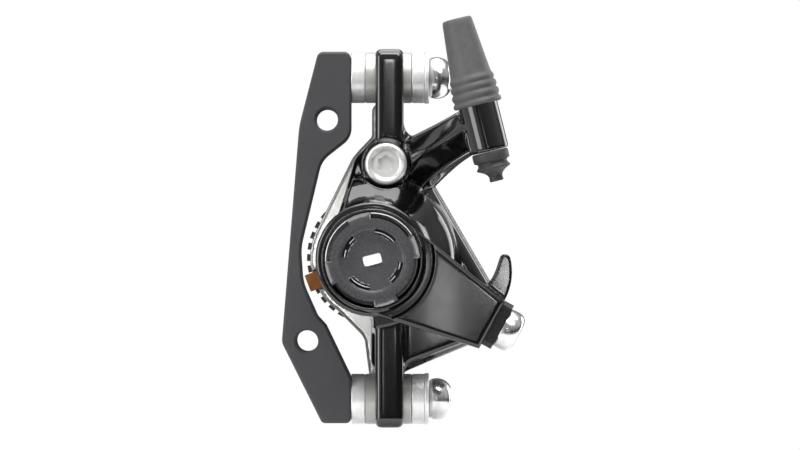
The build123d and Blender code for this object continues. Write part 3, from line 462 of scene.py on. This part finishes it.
def lower_boot():
    """The nipple: a collar on the tube, a waist, a flared ridge and a concave neck down to the cable."""
    rings = [(1.32, 0.02), (1.42, 0.0), (1.54, 0.12), (1.58, 0.35), (1.52, 0.7), (1.52, 1.1),
             (1.66, 1.5), (1.98, 1.9), (2.5, 2.3), (3.15, 2.62), (3.68, 2.86), (3.84, 3.02),
             (3.86, 3.16), (3.76, 3.32), (3.54, 3.55), (3.38, 3.85), (3.32, 4.15), (3.36, 4.4),
             (3.6, 4.56), (3.92, 4.66), (4.06, 4.82), (4.12, 5.2), (4.14, 5.9), (4.12, 6.4),
             (4.02, 6.66), (3.86, 6.78), (2.6, 6.8), (1.32, 6.8), (1.3, 3.4)]
    boot = lathe("lower_nipple_boot", rings, nipple_rubber, sides=96, closed=True)
    stand(boot, cable_place(0), CABLE_WAY, up=OUTBOARD)
    smooth(boot, 60)
    return boot


def hub_ring():
    """The rubber seal round the drive cam's hub, with two soft lips."""
    rings = [(6.26, 0.12), (6.36, 0.02), (6.6, 0.0), (7.0, 0.02), (7.16, 0.16), (7.17, 0.5),
             (7.16, 0.84), (7.0, 0.98), (6.6, 1.0), (6.36, 0.98), (6.26, 0.88), (6.4, 0.68), (6.46, 0.5),
             (6.4, 0.32)]
    ring = lathe("hub_seal_ring", rings, seal_rubber_and_slot_shade, sides=72, closed=True)
    stand(ring, (0, -SEAL_DEPTH, 0), OUTBOARD)
    smooth(ring, 70)
    return ring


stand_in_for(upper_boot(), "upper_cable_boot")
stand_in_for(lower_boot(), "lower_cable_boot")
stand_in_for(hub_ring(), "hub_seal")


# Bolts

SOCKET_DEPTH = 3.0
CALIPER_BOLT_KEY, CALIPER_BOLT_SOCKET_FOOT = 5.0, 2.2
ANCHOR_BOLT_KEY, ANCHOR_BOLT_SOCKET_FOOT = 4.1, 1.4
STAR_POINTS, STAR_WAIST_SHARE = 6, 0.74
STAR_RADIUS, STAR_LENGTH, STAR_MIDDLE = 2.25, 3.0, 2.2
BOLT_EDGE_ANGLE = 32


def domed_bolt(name, rings, key, socket_foot, origin, along):
    """A bolt from the rings of its shank and head, with a hexagon socket for a key's width across flats."""
    bolt = lathe(name, rings, bolt_bright)
    socket = bar(6, key / 2 / cos(pi / 6), SOCKET_DEPTH * 2, (0, 0, socket_foot + SOCKET_DEPTH))
    combine(bolt, socket, "DIFFERENCE")
    stand(bolt, origin, along)
    return smooth(bolt, BOLT_EDGE_ANGLE)


def caliper_bolts():
    """The two bolts through the ears: a smooth barrel shaped head with a flat socket end."""
    seat = EAR_RIGHT + OUTER_WASHER_STACK
    bolts = []
    head = [(4.1, 0.0), (4.35, 0.12), (4.52, 0.4), (4.72, 1.0), (4.8, 1.6), (4.78, 2.2), (4.66, 2.8),
            (4.4, 3.5), (4.0, 4.1), (3.6, 4.5), (3.24, 4.74), (3.0, 4.88), (2.92, 4.95)]
    shank = [(2.6, -24.88), (2.98, -24.5), (3.0, -24.1), (3.0, -0.25), (3.2, -0.02)]
    for rise in POST_RISES:
        bolts.append(domed_bolt("caliper_bolt", shank + head, CALIPER_BOLT_KEY, CALIPER_BOLT_SOCKET_FOOT,
                                (seat, -POST_DEPTH, rise), (1, 0, 0)))
    return join(bolts, "domed_caliper_bolts")


def star_cutter():
    """A star shaped bar for the drive in a body bolt's dish: every second corner is drawn in."""
    star = bar(STAR_POINTS * 2, STAR_RADIUS, STAR_LENGTH, (0, 0, STAR_MIDDLE))
    corner = 180 / STAR_POINTS
    for vertex in star.data.vertices:
        vertex.select = round(degrees(atan2(vertex.co.y, vertex.co.x)) / corner) % 2 == 0
    for item in (*star.data.edges, *star.data.polygons):
        item.select = False
    bpy.ops.object.mode_set(mode="EDIT")
    bpy.ops.mesh.select_mode(type="VERT")
    bpy.ops.transform.resize(value=(STAR_WAIST_SHARE, STAR_WAIST_SHARE, 1), center_override=(0, 0, 0))
    bpy.ops.object.mode_set(mode="OBJECT")
    return star


def body_bolts():
    """The two round headed bolts that clamp the halves: a bright rim round a dished drive."""
    shank = [(2.1, -27.0), (2.5, -26.6), (2.5, -0.25), (2.75, -0.02)]
    rim = [(4.5, 0.0), (4.72, 0.08), (4.8, 0.3), (4.8, 1.5), (4.74, 1.9), (4.56, 2.2), (4.3, 2.36),
           (4.05, 2.4)]
    dish = [(3.86, 2.36), (3.72, 2.2), (3.6, 1.95), (3.42, 1.74), (3.1, 1.62), (2.7, 1.6), (2.5, 1.6)]
    bolts = []
    for x, h in BODY_BOLTS:
        bolt = lathe("body_bolt", shank + rim + dish, body_bolt_bright)
        combine(bolt, star_cutter(), "DIFFERENCE")
        stand(bolt, (x, -BOSS_TOP, h), OUTBOARD)
        bolts.append(smooth(bolt, BOLT_EDGE_ANGLE))
    return join(bolts, "dished_body_bolts")


def anchor_bolt():
    """The cable's anchor bolt: a smooth rounded head on the arm's end."""
    shank = [(2.2, -10.4), (2.5, -10.1), (2.5, -0.2), (2.7, -0.02)]
    head = [(4.3, 0.0), (4.52, 0.1), (4.6, 0.35), (4.68, 1.2), (4.68, 2.0), (4.58, 2.7), (4.34, 3.25),
            (3.96, 3.66), (3.5, 3.92), (3.1, 4.04), (2.8, 4.08)]
    x, h = ANCHOR_SEAT
    lean = radians(ARM_LEAN)
    return domed_bolt("anchor_bolt", shank + head, ANCHOR_BOLT_KEY, ANCHOR_BOLT_SOCKET_FOOT,
                      (x, -CABLE_DEPTH, h), (cos(lean), 0, -sin(lean)))


stand_in_for(caliper_bolts(), "caliper_bolts")
stand_in_for(body_bolts(), "body_bolts")
stand_in_for(anchor_bolt(), "cable_anchor_bolt")


# Knob

LUG_TURN, LUG_SWEEP = 17.5, 30.6
LUG_INNER, LUG_OUTER, LUG_LOW, LUG_HIGH = 8.6, 10.6, 0.1, 3.3
SLOT_TURN, SLOT_SWEEP = 62.5, 45.0
SLOT_INNER, SLOT_OUTER, SLOT_LOW, SLOT_HIGH = 5.75, 6.9, -0.5, 4.0
# Where the band of painted shade sits in each slot: its lap past the slot's sides, its low and its high
SLOT_SHADE_LAP, SLOT_SHADE_LOW, SLOT_SHADE_HIGH = 0.05, 0.3, 0.8
DRIVE_LENGTH, DRIVE_WIDTH, DRIVE_HEIGHT, DRIVE_TURN = 4.3, 2.4, 12.0, 14.5
KNOB_EDGE = 0.09
# Radius, half thickness, height, middle and sweep of each spring wire; the third ring is a painted highlight
# of the cup's rim
CLIP_WIRES_AND_RIM_HIGHLIGHT = ((6.22, 0.12, 2.3, 62.5, 165.0), (6.22, 0.12, 2.3, 242.5, 165.0),
              (10.4, 0.14, 2.75, 108.0, 158.0))


def band(name, inner, outer, low, high, finish):
    """A square edged ring about its own Z."""
    rings = [(outer, low), (outer, high), (inner, high), (inner, low)]
    return lathe(name, rings, finish, sides=96, closed=True)


def knob():
    """The outboard knob: a rim with four lugs, a dished face, spring wire arcs through four slots over bands
    of painted shade, and a painted highlight ring at the cup's rim.
    """
    rings = [(8.9, 0.0), (9.3, 0.15), (9.3, 3.15), (9.24, 3.27), (9.1, 3.31), (8.2, 3.38), (7.5, 3.4),
             (7.38, 3.37), (7.3, 3.28), (7.22, 3.12), (7.1, 2.96), (6.8, 2.86), (6.2, 2.73), (5.2, 2.58),
             (4.2, 2.47), (3.2, 2.41), (2.6, 2.4)]
    piece = lathe("lugged_knob", rings, knob_plastic, sides=96)
    for step in range(4):
        lug = band("lug", LUG_INNER, LUG_OUTER, LUG_LOW, LUG_HIGH, knob_plastic)
        combine(piece, sector(lug, LUG_TURN + 90 * step, LUG_SWEEP), "UNION")
        slot = band("slot", SLOT_INNER, SLOT_OUTER, SLOT_LOW, SLOT_HIGH, knob_plastic)
        combine(piece, sector(slot, SLOT_TURN + 90 * step, SLOT_SWEEP), "DIFFERENCE")
    bpy.ops.object.select_all(action="DESELECT")
    bpy.ops.mesh.primitive_cube_add(size=1.0, location=(0, 0, 0))
    drive = bpy.context.object
    drive.scale = (DRIVE_LENGTH * MM, DRIVE_WIDTH * MM, DRIVE_HEIGHT * MM)
    drive.rotation_euler = (0, 0, radians(DRIVE_TURN))
    bake_place()
    combine(piece, drive, "DIFFERENCE")
    apply_modifier(piece, "BEVEL", width=KNOB_EDGE * MM, segments=2, limit_method="ANGLE",
                   angle_limit=radians(50))
    smooth(piece, 40)
    # A band of black rubber low in each slot is painted shade: it darkens the slots and is no part of the knob
    shade_inner, shade_outer = SLOT_INNER - SLOT_SHADE_LAP, SLOT_OUTER + SLOT_SHADE_LAP
    wires_and_slot_shade = [band("slot_painted_shade", shade_inner, shade_outer, SLOT_SHADE_LOW, SLOT_SHADE_HIGH, seal_rubber_and_slot_shade)]
    # The outer ring, over the upper arcs only, is a painted highlight of the cup's rim; the inner two are
    # spring wires
    for radius, thick, height, middle, sweep in CLIP_WIRES_AND_RIM_HIGHLIGHT:
        bpy.ops.object.select_all(action="DESELECT")
        bpy.ops.mesh.primitive_torus_add(major_segments=144, minor_segments=12, major_radius=radius * MM,
                                         minor_radius=thick * MM, location=(0, 0, height * MM))
        wire = bpy.context.object
        wire.data.materials.append(clip_wire_and_rim_highlight)
        bake_place()
        wires_and_slot_shade.append(smooth(sector(wire, middle, sweep), 80))
    piece = join([piece, *wires_and_slot_shade], "lugged_knob")
    return stand(piece, (0, -KNOB_FLOOR, 0), OUTBOARD)


stand_in_for(knob(), "outboard_knob")


# Castings and forgings

CASTING_GRAIN, FORGING_GRAIN = 0.36, 0.22
OUTBOARD_PASSES, INBOARD_PASSES, ARM_PASSES = 7, 4, 7
SKIN_FACES = 190000
MACHINED_FACING, MACHINED_FADE = 0.82, 0.12
SHOULDER_MIDDLE, SHOULDER_SWEEP = 55.0, 160.0
FLANGE_LEFT, FLANGE_LEFT_WAY = (-7.2, 9.0), (0.965, -0.266)
BORE_RADIUS, BORE_LENGTH, BORE_MIDDLE = 5.7, 20.0, 28.0


def merged_copy(node, name):
    """A copy of a CAD node's mesh with its loose triangles joined up."""
    source = nodes[node]
    piece = bpy.data.objects.new(name, source.data.copy())
    piece.data.name = name
    bpy.context.scene.collection.objects.link(piece)
    pick_only(piece)
    bpy.ops.object.mode_set(mode="EDIT")
    bpy.ops.mesh.select_all(action="SELECT")
    bpy.ops.mesh.remove_doubles(threshold=0.0005 * MM)
    bpy.ops.object.mode_set(mode="OBJECT")
    return piece


def cast_skin(node, name, grain_mm, passes, added=()):
    """A skin of even small faces, with edges and inner corners melted soft as the mould leaves them."""
    piece = join([merged_copy(node, name), *added], name)
    apply_modifier(piece, "REMESH", mode="VOXEL", voxel_size=grain_mm * MM, use_smooth_shade=True)
    apply_modifier(piece, "SMOOTH", factor=0.5, iterations=passes)
    count = len(piece.data.polygons) * 2
    if count > SKIN_FACES:
        apply_modifier(piece, "DECIMATE", ratio=SKIN_FACES / count)
    return piece


def inboard_half():
    """The inboard casting, with the faces that look outboard from the joint inwards marked as machined."""
    half = cast_skin("inboard_body", "inboard_casting", CASTING_GRAIN, INBOARD_PASSES)
    mark = half.data.attributes.new("machined", "FLOAT", "POINT")
    for vertex, value in zip(half.data.vertices, mark.data):
        facing = (-vertex.normal.y - MACHINED_FACING) / MACHINED_FADE
        value.value = max(0.0, min(1.0, facing)) if vertex.co.y > -JOINT_DEPTH * MM else 0.0
    return half


def shoulder():
    """The flared shoulder between the barrel and the flange, cut back round the body bolt."""
    rings = [(19.3, 13.0), (19.3, 15.0), (19.0, 17.5), (18.6, 19.2), (18.1, 20.4), (17.2, 21.7),
             (15.8, 23.2), (14.4, 24.8), (13.4, 26.2), (12.9, 27.4), (12.2, 27.4), (12.2, 13.0)]
    ring = lathe("shoulder_flare", rings, gloss_black, sides=120, closed=True)
    flare = sector(ring, SHOULDER_MIDDLE, SHOULDER_SWEEP)
    pick_only(flare)
    bpy.ops.object.mode_set(mode="EDIT")
    bpy.ops.mesh.select_all(action="SELECT")
    x, h = FLANGE_LEFT
    bpy.ops.mesh.bisect(plane_co=(x * MM, h * MM, 0), plane_no=(*FLANGE_LEFT_WAY, 0), use_fill=True,
                        clear_inner=True)
    bpy.ops.object.mode_set(mode="OBJECT")
    x, h = BODY_BOLTS[0]
    combine(flare, bar(72, BORE_RADIUS, BORE_LENGTH, (x, h, BORE_MIDDLE)), "DIFFERENCE")
    return stand(flare, (0, 0, 0), OUTBOARD)


outboard_half = cast_skin("outboard_body", "outboard_casting", CASTING_GRAIN, OUTBOARD_PASSES,
                          added=[shoulder()])
stand_in_for(outboard_half, "outboard_body")
stand_in_for(inboard_half(), "inboard_body")
stand_in_for(cast_skin("torque_arm", "torque_arm_forging", FORGING_GRAIN, ARM_PASSES), "torque_arm")


# Stage: floor, sky, lamps and camera

PLAIN_LEVEL = (0.32, 0.32, 0.325, 1.0)
GLOSS_LEVEL = 1.6
FLOOR_RADIUS, FLOOR_HEIGHT = 0.16, -0.06
FLOOR_GLOW_SHARE = 0.96
CARD_DISTANCE = 0.6
CALIPER_MIDDLE = (0.006, -0.02, 0.008)
CAMERA_PLACE = (0.006166, -0.911, 0.007746)
CAMERA_LENS = 175.7
# What the gloss mirrors: from the camera to the back, from below to above, the left wall and the ceiling
DEPTH_SHADES = [(0.0, 0.25), (0.05, 0.22), (0.2, 0.25), (0.45, 0.4), (0.6, 0.2), (0.8, 0.12), (1.0, 0.18)]
RISE_SHADES = [(0.0, 0.6), (0.35, 0.25), (0.45, 0.08), (0.5, 0.2), (0.55, 0.7), (0.65, 1.0)]
LEFT_SHADES = [(0.0, 0.45), (0.3, 0.3), (0.4, 0.0)]
TOP_SHADES = [(0.7, 0.0), (0.85, 0.35), (1.0, 0.5)]


def shades(tree, way, stops):
    """A ramp over one way of the studio, from its -1 to its 1."""
    share = tree.nodes.new("ShaderNodeMapRange")
    share.inputs["From Min"].default_value = -1.0
    share.inputs["From Max"].default_value = 1.0
    tree.links.new(way, share.inputs["Value"])
    return ramp(tree, share.outputs["Result"], stops)


def sky():
    """White where the camera looks, a graded studio for the gloss, and a plain level for the light."""
    world = bpy.data.worlds.new("studio")
    bpy.context.scene.world = world
    world.use_nodes = True
    tree = world.node_tree
    tree.nodes.clear()
    out = tree.nodes.new("ShaderNodeOutputWorld")
    place = tree.nodes.new("ShaderNodeTexCoord")
    split = tree.nodes.new("ShaderNodeSeparateXYZ")
    tree.links.new(place.outputs["Generated"], split.inputs["Vector"])
    graded = shades(tree, split.outputs["Y"], DEPTH_SHADES)
    for way, stops, kind in (("Z", RISE_SHADES, "MULTIPLY"), ("X", LEFT_SHADES, "LIGHTEN"),
                             ("Z", TOP_SHADES, "LIGHTEN")):
        graded = blend(tree, graded, shades(tree, split.outputs[way], stops), kind)
    ray = tree.nodes.new("ShaderNodeLightPath")
    gloss = tree.nodes.new("ShaderNodeBackground")
    tree.links.new(graded, gloss.inputs["Color"])
    gloss.inputs["Strength"].default_value = GLOSS_LEVEL
    plain = tree.nodes.new("ShaderNodeBackground")
    plain.inputs["Color"].default_value = PLAIN_LEVEL
    white = tree.nodes.new("ShaderNodeBackground")
    white.inputs["Color"].default_value = (1.0, 1.0, 1.0, 1.0)
    shiny = tree.nodes.new("ShaderNodeMath")
    shiny.operation = "MAXIMUM"
    tree.links.new(ray.outputs["Is Glossy Ray"], shiny.inputs[0])
    tree.links.new(ray.outputs["Is Transmission Ray"], shiny.inputs[1])
    first = tree.nodes.new("ShaderNodeMixShader")
    tree.links.new(shiny.outputs["Value"], first.inputs["Fac"])
    tree.links.new(plain.outputs["Background"], first.inputs[1])
    tree.links.new(gloss.outputs["Background"], first.inputs[2])
    second = tree.nodes.new("ShaderNodeMixShader")
    tree.links.new(ray.outputs["Is Camera Ray"], second.inputs["Fac"])
    tree.links.new(first.outputs["Shader"], second.inputs[1])
    tree.links.new(white.outputs["Background"], second.inputs[2])
    tree.links.new(second.outputs["Shader"], out.inputs["Surface"])


def floor():
    """A pale round floor below the caliper, white to the camera apart from its shadow."""
    bpy.ops.object.select_all(action="DESELECT")
    bpy.ops.mesh.primitive_circle_add(vertices=96, radius=FLOOR_RADIUS, fill_type="NGON",
                                      location=(0.006, 0.0, FLOOR_HEIGHT))
    ground = bpy.context.object
    ground.name = "floor"
    material, tree, shader = new_material("floor_white")
    shader.inputs["Base Color"].default_value = (0.9, 0.9, 0.9, 1.0)
    shader.inputs["Roughness"].default_value = 0.9
    glow = tree.nodes.new("ShaderNodeEmission")
    glow.inputs["Strength"].default_value = 1.0
    ray = tree.nodes.new("ShaderNodeLightPath")
    mix = tree.nodes.new("ShaderNodeMixShader")
    factor = tree.nodes.new("ShaderNodeMath")
    factor.operation = "MULTIPLY"
    factor.inputs[1].default_value = FLOOR_GLOW_SHARE
    tree.links.new(ray.outputs["Is Camera Ray"], factor.inputs[0])
    tree.links.new(factor.outputs["Value"], mix.inputs["Fac"])
    tree.links.new(shader.outputs["BSDF"], mix.inputs[1])
    tree.links.new(glow.outputs["Emission"], mix.inputs[2])
    out = [node for node in tree.nodes if node.type == "OUTPUT_MATERIAL"][0]
    tree.links.new(mix.outputs["Shader"], out.inputs["Surface"])
    ground.data.materials.append(material)


def lamp(name, place, power, width, height, aim=CALIPER_MIDDLE):
    """A soft rectangular lamp that looks at the caliper, its place and size in metres."""
    light = bpy.data.lights.new(name, "AREA")
    light.shape = "RECTANGLE"
    light.size = width
    light.size_y = height
    light.energy = power
    holder = bpy.data.objects.new(name, light)
    bpy.context.scene.collection.objects.link(holder)
    holder.location = place
    holder.rotation_euler = (Vector(aim) - Vector(place)).to_track_quat("-Z", "Y").to_euler()


def card(name, x, z, power, width, height):
    """A small bright card straight in front, whose mirror image lies on one shiny face."""
    lamp(name, (x, -CARD_DISTANCE, z), power, width, height, aim=(x, 0.0, z))


def camera():
    """The photograph's view: level, square to the outboard face, from 0.9 m."""
    lens = bpy.data.cameras.new("photo_camera")
    lens.sensor_width = 36.0
    lens.lens = CAMERA_LENS
    lens.clip_start, lens.clip_end = 0.05, 20.0
    holder = bpy.data.objects.new("photo_camera", lens)
    bpy.context.scene.collection.objects.link(holder)
    holder.location = CAMERA_PLACE
    holder.rotation_euler = (pi / 2, 0.0, 0.0)
    bpy.context.scene.camera = holder


sky()
floor()
lamp("key_upper_right", (0.24, -0.5, 0.5), 1.2, 0.3, 0.3)
lamp("fill_left", (-0.5, -0.45, 0.1), 2.0, 0.3, 0.5)
lamp("top_box", (0.02, -0.3, 0.5), 1.4, 0.4, 0.25)
lamp("overhead_box", (0.03, 0.0, 0.45), 3.0, 0.6, 0.5)
lamp("side_box", (0.45, 0.3, 0.06), 1.2, 0.25, 0.5)
card("joint_card", -0.0285, -0.016, 0.02, 0.011, 0.09)
card("arm_card", 0.0215, -0.02, 0.0065, 0.01, 0.032)
card("horn_card", 0.0461, -0.01, 0.008, 0.0055, 0.016)
card("ear_card", 0.0035, 0.086, 0.014, 0.009, 0.03)
card("ear_strip", 0.0053, 0.058, 0.0008, 0.0016, 0.026)
camera()
bpy.context.scene.view_settings.view_transform = "Standard"
